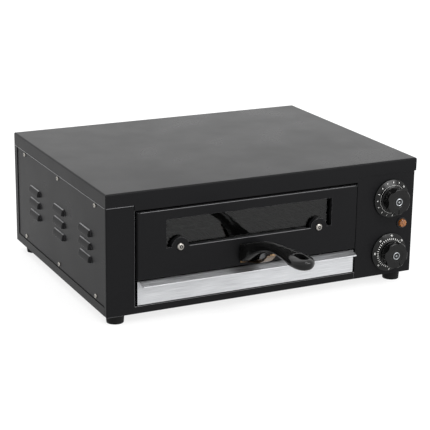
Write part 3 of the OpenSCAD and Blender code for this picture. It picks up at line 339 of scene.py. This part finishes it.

# %% [markdown]
# The window is toughened glass, with the faintest smear on it. Its index is well under
# soda-lime's 1.52. Like its smoky tint it is set so that the window mirrors the white table no
# more than in the photograph. The pilot lamp's lens is a clear amber moulding, with a grain that
# hides the lamp behind it. Its trace of glow is given as well.

# %% Glass and amber
GLASS_IOR = 1.36
MOST_HAZE = 0.04


def make_glass():
    """Toughened window glass, a little smoked."""
    material, tree, shader = new_material("tempered_glass", IOR=GLASS_IOR, Transmission_Weight=1.0)
    place = add_node(tree, "ShaderNodeTexCoord").outputs["Object"]
    smear = add_node(tree, "ShaderNodeTexNoise", {"Vector": place, "Scale": 1 / SMUDGE_SIZE,
                                                  "Detail": 3})
    haze = add_node(tree, "ShaderNodeMapRange", {"Value": smear.outputs[0], "To Min": 0.0,
                                                 "To Max": MOST_HAZE})
    tree.links.new(haze.outputs[0], shader.inputs["Roughness"])
    shade = add_node(tree, "ShaderNodeMix", {FACTOR: smear.outputs[0], COLOUR_A: linear("#565956"),
                                             COLOUR_B: linear("#626562")}, data_type="RGBA")
    tree.links.new(shade.outputs[COLOUR_OUT], shader.inputs["Base Color"])
    return material


def make_amber():
    """A clear amber lens, with a trace of glow."""
    return make_grained("amber_polycarbonate", ("#4a1d04", "#8f5815"), (0.08, 0.16), 2.5 * MM,
                        0.15 * MM, IOR=1.58, Transmission_Weight=0.25,
                        Emission_Color=linear("#ff8a1c"), Emission_Strength=0.03)


print("glass index:", GLASS_IOR)

# %% [markdown]
# Here is the table of finishes. Nickel is warmer than chrome and chrome is the better mirror.
# Both are darker than the real metals, for the same reason as the stainless steel: with the
# real tones the screws and the dials' rings come out pure white. Phenolic, which stands the
# heat, leaves its mould glossy; nylon comes out matt and rubber duller still. The heaters are
# steel tubes that their first firing turned brown, and steatite is the dry off-white ceramic
# of their insulators.

# %% Table of finishes
METAL = {"Metallic": 1.0}
PLASTIC = {"IOR": 1.5, "Specular_IOR_Level": 0.2}
finishes = {
    "black_enamel": enamel,
    "brushed_stainless": stainless,
    "screw_steel": make_grained(
        "bright_nickel", ("#85827d", "#9e9b96"), (0.22, 0.34), 3 * MM, 0.004 * MM, **METAL),
    "chrome_trim": make_grained(
        "bright_chrome", ("#85888b", "#a0a3a5"), (0.12, 0.20), 3 * MM, 0.003 * MM, **METAL),
    "chromed_wire": make_grained(
        "chromed_drawn_wire", ("#a6a9ac", "#d2d5d8"), (0.14, 0.24), 2 * MM, 0.004 * MM,
        (0.1, 1, 1), **METAL),
    "copper_tube": make_grained(
        "drawn_copper", ("#a8633c", "#cf8a5e"), (0.25, 0.40), 4 * MM, 0.004 * MM, **METAL),
    "yellow_zinc": make_grained(
        "yellow_passivated_zinc", ("#4a3b2a", "#6e5840"), (0.22, 0.36), 6 * MM, 0.006 * MM,
        **METAL),
    "zinc_steel": make_spangled("zinc_plated_steel", ("#54565a", "#6c6e72"), (0.30, 0.45)),
    "aluminised_steel": make_spangled("aluminised_steel", ("#7f8284", "#989b9c"), (0.38, 0.52)),
    "black_bakelite": make_grained(
        "moulded_phenolic", ("#090909", "#0d0d0d"), (0.11, 0.17), 14 * MM, 0.02 * MM, detail=1,
        **PLASTIC),
    "black_nylon": make_grained(
        "moulded_nylon", ("#101011", "#161617"), (0.42, 0.55), 0.8 * MM, 0.01 * MM, **PLASTIC),
    "black_rubber": make_grained(
        "moulded_rubber", ("#060606", "#0b0b0b"), (0.60, 0.80), 0.8 * MM, 0.03 * MM, IOR=1.5,
        Specular_IOR_Level=0.15),
    "tempered_glass": make_glass(),
    "amber_lens": make_amber(),
    "heater_sheath": make_grained(
        "fired_heater_tube", ("#3a332d", "#6a625a"), (0.45, 0.65), 6 * MM, 0.02 * MM,
        Metallic=0.9),
    "ceramic_white": make_grained(
        "steatite_ceramic", ("#d9d3c2", "#efeadb"), (0.60, 0.80), 2 * MM, 0.02 * MM),
}
print("finishes:", ", ".join(sorted(finishes)))

# %% [markdown]
# Powder draws back from a sharp edge as it melts, so along every fold and cut the coat is thin:
# the grey of the sheet shows through, and the coat lies smoother there. The bevelled edges and
# the crests of the louvres get this finish of their own. Its grey is lighter than such a coat
# would be, so it is partly a painted highlight: it stands for the glint that the low specular
# level leaves out.

# %% Thin coat and painted highlight along the edges
# light grey along the edges: a thin coat, and partly a painted highlight
edge_coat_and_highlight = make_grained("thin_coat_and_painted_highlight_on_edges", ("#4e4e50", "#626264"), (0.25, 0.35), 0.8 * MM,
                         0.01 * MM, IOR=1.5)
print("edge finish:", edge_coat_and_highlight.name)

# %% [markdown]
# Every piece of the frame names the finish that it is made in, so one loop dresses them all.

# %% Dress the frame
node_slot = {part["node"]: part["material_slot"] for part in frame["record"]["subparts"]}
for node, piece in frame["nodes"].items():
    piece.data.materials.clear()
    piece.data.materials.append(finishes[node_slot[node]])
print("pieces dressed:", len(node_slot))

# %% [markdown]
# ## Edges that catch the light
#
# No real edge is sharp. Folded sheet turns round the press brake's nose, a blanked edge is
# broken, and every moulding has a radius, so each edge of the real oven shows a thin bright
# line where it mirrors the lamps. The frame's pieces are exact solids with sharp edges, so the
# ones most in view are copied: the copy's triangles are merged, its flat faces joined, and its
# edges rounded with a bevel that leaves the sizes as they are. The handle has no sharp edge to
# bevel, only facets. Its copy is covered with a fine even skin, which is then eased.

# %% Round the edges of a copy
MERGE = 0.002 * MM
FLAT_ANGLE = math.radians(0.5)
EDGE_ANGLE = math.radians(40)
SMOOTH_ANGLE = math.radians(50)
EDGE_SEGMENTS = 2
# the second material is the thin coat, which is partly a painted highlight
COAT_AND_HIGHLIGHT_SLOT = 1  # a coated piece's second material is its thin coat
MOULD_GRAIN = 0.7 * MM
EASE_FACTOR, EASE_ROUNDS = 0.5, 8
THIN_COAT_AND_HIGHLIGHT = ("top_cover", "front_frame", "door_panel", "window_frame",
             "left_side_panel", "right_side_panel")


def remesh(piece):
    """Lets the skin of a moulding flow, with even small faces, over its facets."""
    flow = piece.modifiers.new("flow", "REMESH")
    flow.mode = "VOXEL"
    flow.voxel_size = MOULD_GRAIN
    bpy.ops.object.modifier_apply(modifier=flow.name)
    ease = piece.modifiers.new("ease", "SMOOTH")
    ease.factor = EASE_FACTOR
    ease.iterations = EASE_ROUNDS
    bpy.ops.object.modifier_apply(modifier=ease.name)


def soften(node, width):
    """A copy of a node, which stands for it: its edges rounded, or remeshed where width is 0."""
    source = frame["nodes"][node]
    piece = bpy.data.objects.new(node + "_softened", source.data.copy())
    bpy.context.scene.collection.objects.link(piece)
    bpy.ops.object.select_all(action="DESELECT")
    bpy.context.view_layer.objects.active = piece
    piece.select_set(True)
    bpy.ops.mesh.customdata_custom_splitnormals_clear()
    bpy.ops.object.mode_set(mode="EDIT")
    bpy.ops.mesh.select_all(action="SELECT")
    bpy.ops.mesh.remove_doubles(threshold=MERGE)
    if width:
        bpy.ops.mesh.dissolve_limited(angle_limit=FLAT_ANGLE)
    bpy.ops.object.mode_set(mode="OBJECT")
    if width:
        rounding = piece.modifiers.new("rounding", "BEVEL")
        rounding.width = width
        rounding.segments = EDGE_SEGMENTS
        rounding.limit_method = "ANGLE"
        rounding.angle_limit = EDGE_ANGLE
        # these pieces' bevels get the light grey thin coat, partly a painted highlight
        if node in THIN_COAT_AND_HIGHLIGHT:
            piece.data.materials.append(edge_coat_and_highlight)
            rounding.material = COAT_AND_HIGHLIGHT_SLOT
        bpy.ops.object.modifier_apply(modifier=rounding.name)
    else:
        remesh(piece)
    bpy.ops.object.shade_smooth_by_angle(angle=SMOOTH_ANGLE)
    if width:
        flatten = piece.modifiers.new("flat_faces_stay_flat", "WEIGHTED_NORMAL")
        flatten.keep_sharp = True
        bpy.ops.object.modifier_apply(modifier=flatten.name)
    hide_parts(node)
    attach(piece, body_of(source)[0])
    return piece


print("edges sharper than", round(math.degrees(EDGE_ANGLE)), "degrees are rounded")

# %% [markdown]
# The widths are in millimetres, and the handle, with none, is remeshed. The louvres are pressed
# out of the side panels. In the photograph each one shows a light line along its upper slope,
# where it faces the light from above, so those slopes are painted in the thin coat's light grey:
# a painted highlight. They are told by how they tilt, and by lying further out than the panel's
# own face, which is at 282.6 mm.

# %% Soften what is in view
SOFT_EDGES = {
    "top_cover": 0.55, "front_frame": 0.5, "control_panel": 0.5, "door_panel": 0.8,
    "window_frame": 0.6, "crumb_tray": 0.3, "thermostat_knob": 0.25, "timer_knob": 0.25,
    "left_side_panel": 0.5, "right_side_panel": 0.5, "door_handle": 0.0,
}
CREST_X = 283.2 * MM
CREST_SLOPE = 0.8


def coat_crests(panel):
    """Paints a highlight on the upper slopes of a side panel's louvres, in the thin coat's grey.
    """
    for face in panel.data.polygons:
        if abs(face.center.x) > CREST_X and face.normal.z > CREST_SLOPE:
            face.material_index = COAT_AND_HIGHLIGHT_SLOT


for node, millimetres in SOFT_EDGES.items():
    piece = soften(node, millimetres * MM)
    if node.endswith("side_panel"):
        coat_crests(piece)
    print(node, "faces:", len(piece.data.polygons))

# %% [markdown]
# ## Dials
#
# The numbers on the dials are pad-printed in white on the sloping skirt, and each chrome ring
# has a black floor round its stud. First come the dials' own places: the axes are the joints',
# and the back is the knob's, as the frame has them. The straight slope of the skirt runs from
# its edge to its foot, each with a radius and a height over the back. A point on a dial is then
# given by its clock angle, its radius and its height. Real print lies on the slope. This print
# keeps to the slope too, but stands 1.26 mm in front of it, which is more than it should.

# %% Where things lie on a dial
DIAL_AXIS = {joint["child"]: joint["pos_m"] for joint in frame["joints"] if "pos_m" in joint}
DIAL_BACK_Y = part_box("thermostat_knob")[1].y
SKIRT_EDGE = (32.9 * MM, 2.8 * MM)
SKIRT_FOOT = (21.05 * MM, 5.5 * MM)
INK_HEIGHT = 1.26 * MM


def skirt_height(radius):
    """How far the skirt's face lies in front of the dial's back at a radius."""
    share = (SKIRT_EDGE[0] - radius) / (SKIRT_EDGE[0] - SKIRT_FOOT[0])
    return SKIRT_EDGE[1] + share * (SKIRT_FOOT[1] - SKIRT_EDGE[1])


def wrap_on_skirt(piece, dial):
    """Moves a flat mesh drawn round (0, 0) to the front of a dial's skirt, along its slope."""
    axis_x, _, axis_z = DIAL_AXIS[dial]
    for vertex in piece.data.vertices:
        x, up = vertex.co.x, vertex.co.y
        height = skirt_height(math.hypot(x, up)) + INK_HEIGHT
        vertex.co = (axis_x + x, DIAL_BACK_Y - height, axis_z + up)


skirt_slope = math.atan2(SKIRT_FOOT[1] - SKIRT_EDGE[1], SKIRT_EDGE[0] - SKIRT_FOOT[0])
print("axes:", DIAL_AXIS)
print("slope of the skirt:", round(math.degrees(skirt_slope), 1), "degrees")

# %% [markdown]
# Each number is a text object, set upright for a reader who looks at it from outside, turned
# into a mesh and then tilted to the slope. The marks between the numbers start as one small
# plane each, and so do the short pieces of the thin line round the upper dial. That line is a
# painted highlight in the ink's white, for the glint along the raised ring at the grip's foot.
# All of a dial's print is joined into one piece, which turns with the dial. The angles are in
# degrees clockwise from the top, and come from the photograph. The digits can't be read there,
# so their values, and that they rise clockwise, are a guess. Of the timer's seven numbers six
# were measured, and one was added at the same step, on the side that the grip hides.

# %% Print, and a painted highlight, on the skirts
# one white ink serves for the print and for the painted highlight
PRINT_AND_HIGHLIGHT_INK = make_grained("white_print_ink_and_painted_highlight", ("#c9c9c6", "#e2e2df"), (0.45, 0.6), 0.5 * MM,
                   0.004 * MM, Specular_IOR_Level=0.3)
NUMBER_SIZE = 3.9 * MM
NUMBER_BOLDNESS = 0.012  # how much wider each stroke gets on either side, as a share of the size
NUMBER_CURVE_STEPS = 2
THERMOSTAT_FIRST, THERMOSTAT_STEP, THERMOSTAT_COUNT = -183, 23, 11
THERMOSTAT_NUMBERS_R = 29.2 * MM
# the thin line round the thermostat is a painted highlight of a raised ring, not print
RIDGE_HIGHLIGHT_R, RIDGE_HIGHLIGHT_WIDTH, RIDGE_HIGHLIGHT_PIECE, PIECES_A_STEP = 24.4 * MM, 0.22 * MM, 2.45 * MM, 4
TIMER_FIRST, TIMER_STEP, TIMER_COUNT, TIMER_MINUTES = -180, 46.2, 7, 10
TIMER_NUMBERS_R = 29.9 * MM
MARK_R, MARK_LENGTH, MARK_WIDTH, MARKS_A_STEP = 24.6 * MM, 3.0 * MM, 0.9 * MM, 5
MARK_CUTS = 2


def turned_place(angle, radius):
    """The place, on a flat dial face, at a clock angle in degrees and a radius."""
    turn = math.radians(angle)
    return Vector((math.sin(turn) * radius, math.cos(turn) * radius, 0))


def add_number(text, angle, radius):
    """A flat number, its foot towards the middle of the dial."""
    bpy.ops.object.select_all(action="DESELECT")
    bpy.ops.object.text_add(location=turned_place(angle, radius),
                            rotation=(0, 0, -math.radians(angle)))
    number = bpy.context.object
    number.data.body = text
    number.data.align_x, number.data.align_y = "CENTER", "CENTER"
    number.data.size = NUMBER_SIZE
    number.data.offset = NUMBER_BOLDNESS * NUMBER_SIZE
    number.data.resolution_u = NUMBER_CURVE_STEPS
    bpy.ops.object.convert(target="MESH")
    bpy.ops.object.transform_apply()
    return bpy.context.object


def add_mark(angle, radius, length, width):
    """A small flat bar: its length runs outwards from the dial's middle, its width across."""
    bpy.ops.object.select_all(action="DESELECT")
    bpy.ops.mesh.primitive_plane_add(size=1, location=turned_place(angle, radius),
                                     rotation=(0, 0, -math.radians(angle)))
    mark = bpy.context.object
    mark.scale = (width, length, 1)
    bpy.ops.object.transform_apply()
    bpy.ops.object.mode_set(mode="EDIT")
    bpy.ops.mesh.select_all(action="SELECT")
    bpy.ops.mesh.subdivide(number_cuts=MARK_CUTS)
    bpy.ops.object.mode_set(mode="OBJECT")
    return mark


def join_print(parts, name, dial):
    """Joins a dial's numbers, marks and painted highlight, and places them in front of its skirt.
    """
    bpy.ops.object.select_all(action="DESELECT")
    for part in parts:
        part.select_set(True)
    bpy.context.view_layer.objects.active = parts[0]
    bpy.ops.object.join()
    piece = bpy.context.object
    piece.name = name
    wrap_on_skirt(piece, dial)
    bpy.ops.object.mode_set(mode="EDIT")
    bpy.ops.mesh.select_all(action="SELECT")
    bpy.ops.mesh.remove_doubles(threshold=MERGE)
    bpy.ops.mesh.quads_convert_to_tris()
    bpy.ops.object.mode_set(mode="OBJECT")
    towards = sum((face.normal.y * face.area for face in piece.data.polygons), 0.0)
    if towards > 0:
        piece.data.flip_normals()
    piece.data.materials.clear()
    piece.data.materials.append(PRINT_AND_HIGHLIGHT_INK)
    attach(piece, dial)
    return piece


numbers = [add_number(str(i), THERMOSTAT_FIRST + i * THERMOSTAT_STEP, THERMOSTAT_NUMBERS_R)
           for i in range(THERMOSTAT_COUNT)]
ridge_highlight = [add_mark(THERMOSTAT_FIRST + (i + 0.5) * THERMOSTAT_STEP / PIECES_A_STEP, RIDGE_HIGHLIGHT_R,
                 RIDGE_HIGHLIGHT_WIDTH, RIDGE_HIGHLIGHT_PIECE)
        for i in range((THERMOSTAT_COUNT - 1) * PIECES_A_STEP)]
piece = join_print(numbers + ridge_highlight, "thermostat_print_and_highlight", "thermostat_dial")
print("thermostat print:", len(piece.data.polygons), "faces")
numbers = [add_number(str(TIMER_MINUTES * i), TIMER_FIRST + i * TIMER_STEP, TIMER_NUMBERS_R)
           for i in range(TIMER_COUNT)]
marks = [add_mark(TIMER_FIRST + i * TIMER_STEP / MARKS_A_STEP, MARK_R, MARK_LENGTH, MARK_WIDTH)
         for i in range((TIMER_COUNT - 1) * MARKS_A_STEP + 1)]
piece = join_print(numbers + marks, "timer_numbers", "timer_dial")
print("timer print:", len(piece.data.polygons), "faces")

# %% [markdown]
# Each cap is a chromed disc, seated in the dial's dish, with a raised ring round it and a stud
# in its middle. The floor between ring and stud is lacquered black. It is a flat ring: a circle
# is filled, its rim inset to the stud's edge, and the middle deleted. Over the cap's seat the
# disc's face is 0.5 mm high, the stud 1.4 and the chrome ring 1.95. The black ring should lie
# on the disc; at 1.78 mm it hides the disc from the front, but stands clear of it.

# %% Black floors of the caps
CAP_SEAT_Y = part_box("thermostat_cap")[1].y
FLOOR_OUT, FLOOR_IN = 4.7 * MM, 2.25 * MM
FLOOR_LIFT = 1.78 * MM
DISC_SIDES = 32
CROWN_PART = 3  # the sloping rim of a raised or sunk disc is a third of the radius wide


def add_disc(name, radius, place, rise=0.0):
    """A disc that faces the user, its middle raised, or sunk where rise is less than 0."""
    bpy.ops.object.select_all(action="DESELECT")
    bpy.ops.mesh.primitive_circle_add(vertices=DISC_SIDES, radius=radius, fill_type="NGON",
                                      location=place, rotation=(math.radians(90), 0, 0))
    disc = bpy.context.object
    disc.name = name
    bpy.ops.object.transform_apply()
    if rise:
        bpy.ops.object.mode_set(mode="EDIT")
        bpy.ops.mesh.select_all(action="SELECT")
        bpy.ops.mesh.inset(thickness=radius / CROWN_PART)
        bpy.ops.transform.translate(value=(0, -rise, 0))
        bpy.ops.object.mode_set(mode="OBJECT")
    return disc


for dial, (x, _, z) in DIAL_AXIS.items():
    ring = add_disc(dial + "_black_floor", FLOOR_OUT, (x, CAP_SEAT_Y - FLOOR_LIFT, z))
    bpy.ops.object.mode_set(mode="EDIT")
    bpy.ops.mesh.select_all(action="SELECT")
    bpy.ops.mesh.inset(thickness=FLOOR_OUT - FLOOR_IN)
    bpy.ops.mesh.delete(type="FACE")
    bpy.ops.object.mode_set(mode="OBJECT")
    ring.data.materials.append(finishes["black_bakelite"])
    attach(ring, dial)
    print(dial, "floor faces:", len(ring.data.polygons))

# %% [markdown]
# The two screws that hold the window have domed heads with a recess. The photograph shows a
# bright ring, a dark middle and a bright speck, and not which kind it is. So a black well, a
# little dished, is laid over the recess as painted shade, for the dark inside of it, and on it a
# small bright floor, a little domed. The frame has both screws as one piece, so their places are
# worked out from its box.

# %% Sockets of the door screws
HEAD_R = 6.0 * MM
screws_low, screws_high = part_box("door_screws")
SCREW_X = (screws_low.x + HEAD_R, screws_high.x - HEAD_R)
SCREW_Z = (screws_low.z + screws_high.z) / 2
HEAD_Y = screws_low.y
# the well is a black disc of painted shade over the recess
WELL_R, WELL_LIFT, WELL_RISE = 2.7 * MM, 0.06 * MM, -0.04 * MM
GLINT_R, GLINT_LIFT, GLINT_RISE = 1.0 * MM, 0.12 * MM, 0.1 * MM
for side, x in zip(("left", "right"), SCREW_X):
    shaded_well = add_disc(side + "_screw_painted_shade", WELL_R, (x, HEAD_Y - WELL_LIFT, SCREW_Z), WELL_RISE)
    glint = add_disc(side + "_screw_floor", GLINT_R, (x, HEAD_Y - GLINT_LIFT, SCREW_Z),
                     GLINT_RISE)
    for disc, key in ((shaded_well, "black_enamel"), (glint, "screw_steel")):
        disc.data.materials.append(finishes[key])
        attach(disc, "rack_drawer")
    print(side, "socket faces:", len(shaded_well.data.polygons) + len(glint.data.polygons))

# %% [markdown]
# ## Seams
#
# In the photograph a thin light line runs under the cover's skirt, along the top of the drawer
# front and along the window's lower edge: a glint on a fold. It is a glint on a fold, or the
# fold's own worn edge; one picture can't tell. Here each is a slim bar, laid along the edge,
# with its own edges rounded over, in the thin coat's light grey, which makes it a painted
# highlight. The right side can't be seen, and gets what the left one has. A bar is given by the
# body that it rides on and two opposite corners in millimetres.

# %% Painted highlights along the seams
SEAMS = {
    "left_side_edge": ("root", (-285.5, -123.5, 196.6), (-282.4, 307.0, 197.4)),
    "right_side_edge": ("root", (282.4, -123.5, 196.6), (285.5, 307.0, 197.4)),
    "left_post_edge": ("root", (-283.6, -128.3, 196.6), (-237.0, -126.6, 197.4)),
    "door_top_edge": ("rack_drawer", (-228.0, -132.1, 184.5), (162.5, -131.2, 185.3)),
    "window_lower_edge": ("rack_drawer", (-143.0, -132.8, 120.9), (78.0, -132.0, 121.7)),
}
ROLL_PART = 2.2  # a bevel takes a little under half the thickness, so that no two meet
ROLL_SEGMENTS = 3


def add_rolled_edge(name, body, low, high):
    """A slim bar between two corners in millimetres, rounded along its edges, in the light grey of
    a painted highlight.
    """
    bpy.ops.object.select_all(action="DESELECT")
    low, high = Vector(low) * MM, Vector(high) * MM
    bpy.ops.mesh.primitive_cube_add(size=1, location=(low + high) / 2)
    bar = bpy.context.object
    bar.name = name
    bar.scale = high - low
    bpy.ops.object.transform_apply()
    rounding = bar.modifiers.new("rounding", "BEVEL")
    rounding.width = min(high - low) / ROLL_PART
    rounding.segments = ROLL_SEGMENTS
    bpy.ops.object.modifier_apply(modifier=rounding.name)
    bpy.ops.object.shade_smooth_by_angle(angle=SMOOTH_ANGLE)
    bar.data.materials.append(edge_coat_and_highlight)
    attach(bar, body)
    return bar


for name, (body, low, high) in SEAMS.items():
    bar = add_rolled_edge(name, body, low, high)
    print(name, "faces:", len(bar.data.polygons))

# %% [markdown]
# ## Studio
#
# The oven stands on a plain white table in an even white surround, as in a light tent. A black
# gloss surface shows only what it mirrors, so the tent itself is the main light: the top
# mirrors the wall behind, the front mirrors the table before it. A large soft lamp from above
# and two smaller ones from the right front, one low and one high, shape the rest. The table
# glows a little, so that it comes out as white as in the photograph. The tent and the lamps
# are tuned to the photograph's tones.

# %% Stage and lights
FLOOR_HALF = 6.0
TABLE_GLOW = 0.78
TENT_STRENGTH = 1.6
# Each lamp has its place, the point that it looks at, its size and its power in watts.
LAMPS = {
    "top_lamp": ((0.0, 0.3, 1.6), (0.0, 0.0, 0.0), 1.6, 10),
    "right_lamp": ((1.1, -1.9, 0.7), (0.1, -0.1, 0.1), 0.8, 14),
    "key_lamp": ((0.6, -1.9, 1.9), (0.0, 0.0, 0.1), 0.8, 26),
}


def make_stage():
    """A pale table top, larger than any view needs."""
    bpy.ops.mesh.primitive_plane_add(size=2 * FLOOR_HALF, location=(0, 0, 0))
    floor = bpy.context.object
    floor.name = "table"
    floor.data.materials.append(make_grained(
        "matt_white_table", ("#7c7c7c", "#808080"), (0.85, 0.95), 4 * MM, 0.01 * MM,
        Specular_IOR_Level=0.05, Emission_Color=linear("#ffffff"), Emission_Strength=TABLE_GLOW))
    floor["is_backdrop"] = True


def make_lamp(name, place, aim, size, power):
    """A square soft lamp that looks from place to aim."""
    data = bpy.data.lights.new(name, "AREA")
    data.shape = "SQUARE"
    data.size = size
    data.energy = power
    lamp = bpy.data.objects.new(name, data)
    bpy.context.scene.collection.objects.link(lamp)
    look = (Vector(aim) - Vector(place)).to_track_quat("-Z", "Y")
    lamp.matrix_world = Matrix.Translation(Vector(place)) @ look.to_matrix().to_4x4()


def make_tent(strength):
    """A world of even white light."""
    world = bpy.data.worlds.new("light_tent")
    world.use_nodes = True
    world.node_tree.nodes.clear()
    light = add_node(world.node_tree, "ShaderNodeBackground", {"Color": linear("#ffffff"),
                                                               "Strength": strength})
    add_node(world.node_tree, "ShaderNodeOutputWorld", {"Surface": light.outputs[0]})
    bpy.context.scene.world = world


make_stage()
for name, (place, aim, size, power) in LAMPS.items():
    make_lamp(name, place, aim, size, power)
make_tent(TENT_STRENGTH)
bpy.context.scene.view_settings.view_transform = "Standard"
print("lamps:", ", ".join(LAMPS))

# %% [markdown]
# The last cell prints how large the dressed oven has come out.

# %% Measure and finish
low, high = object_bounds()
print("dressed box:", [round(v, 4) for v in high - low])
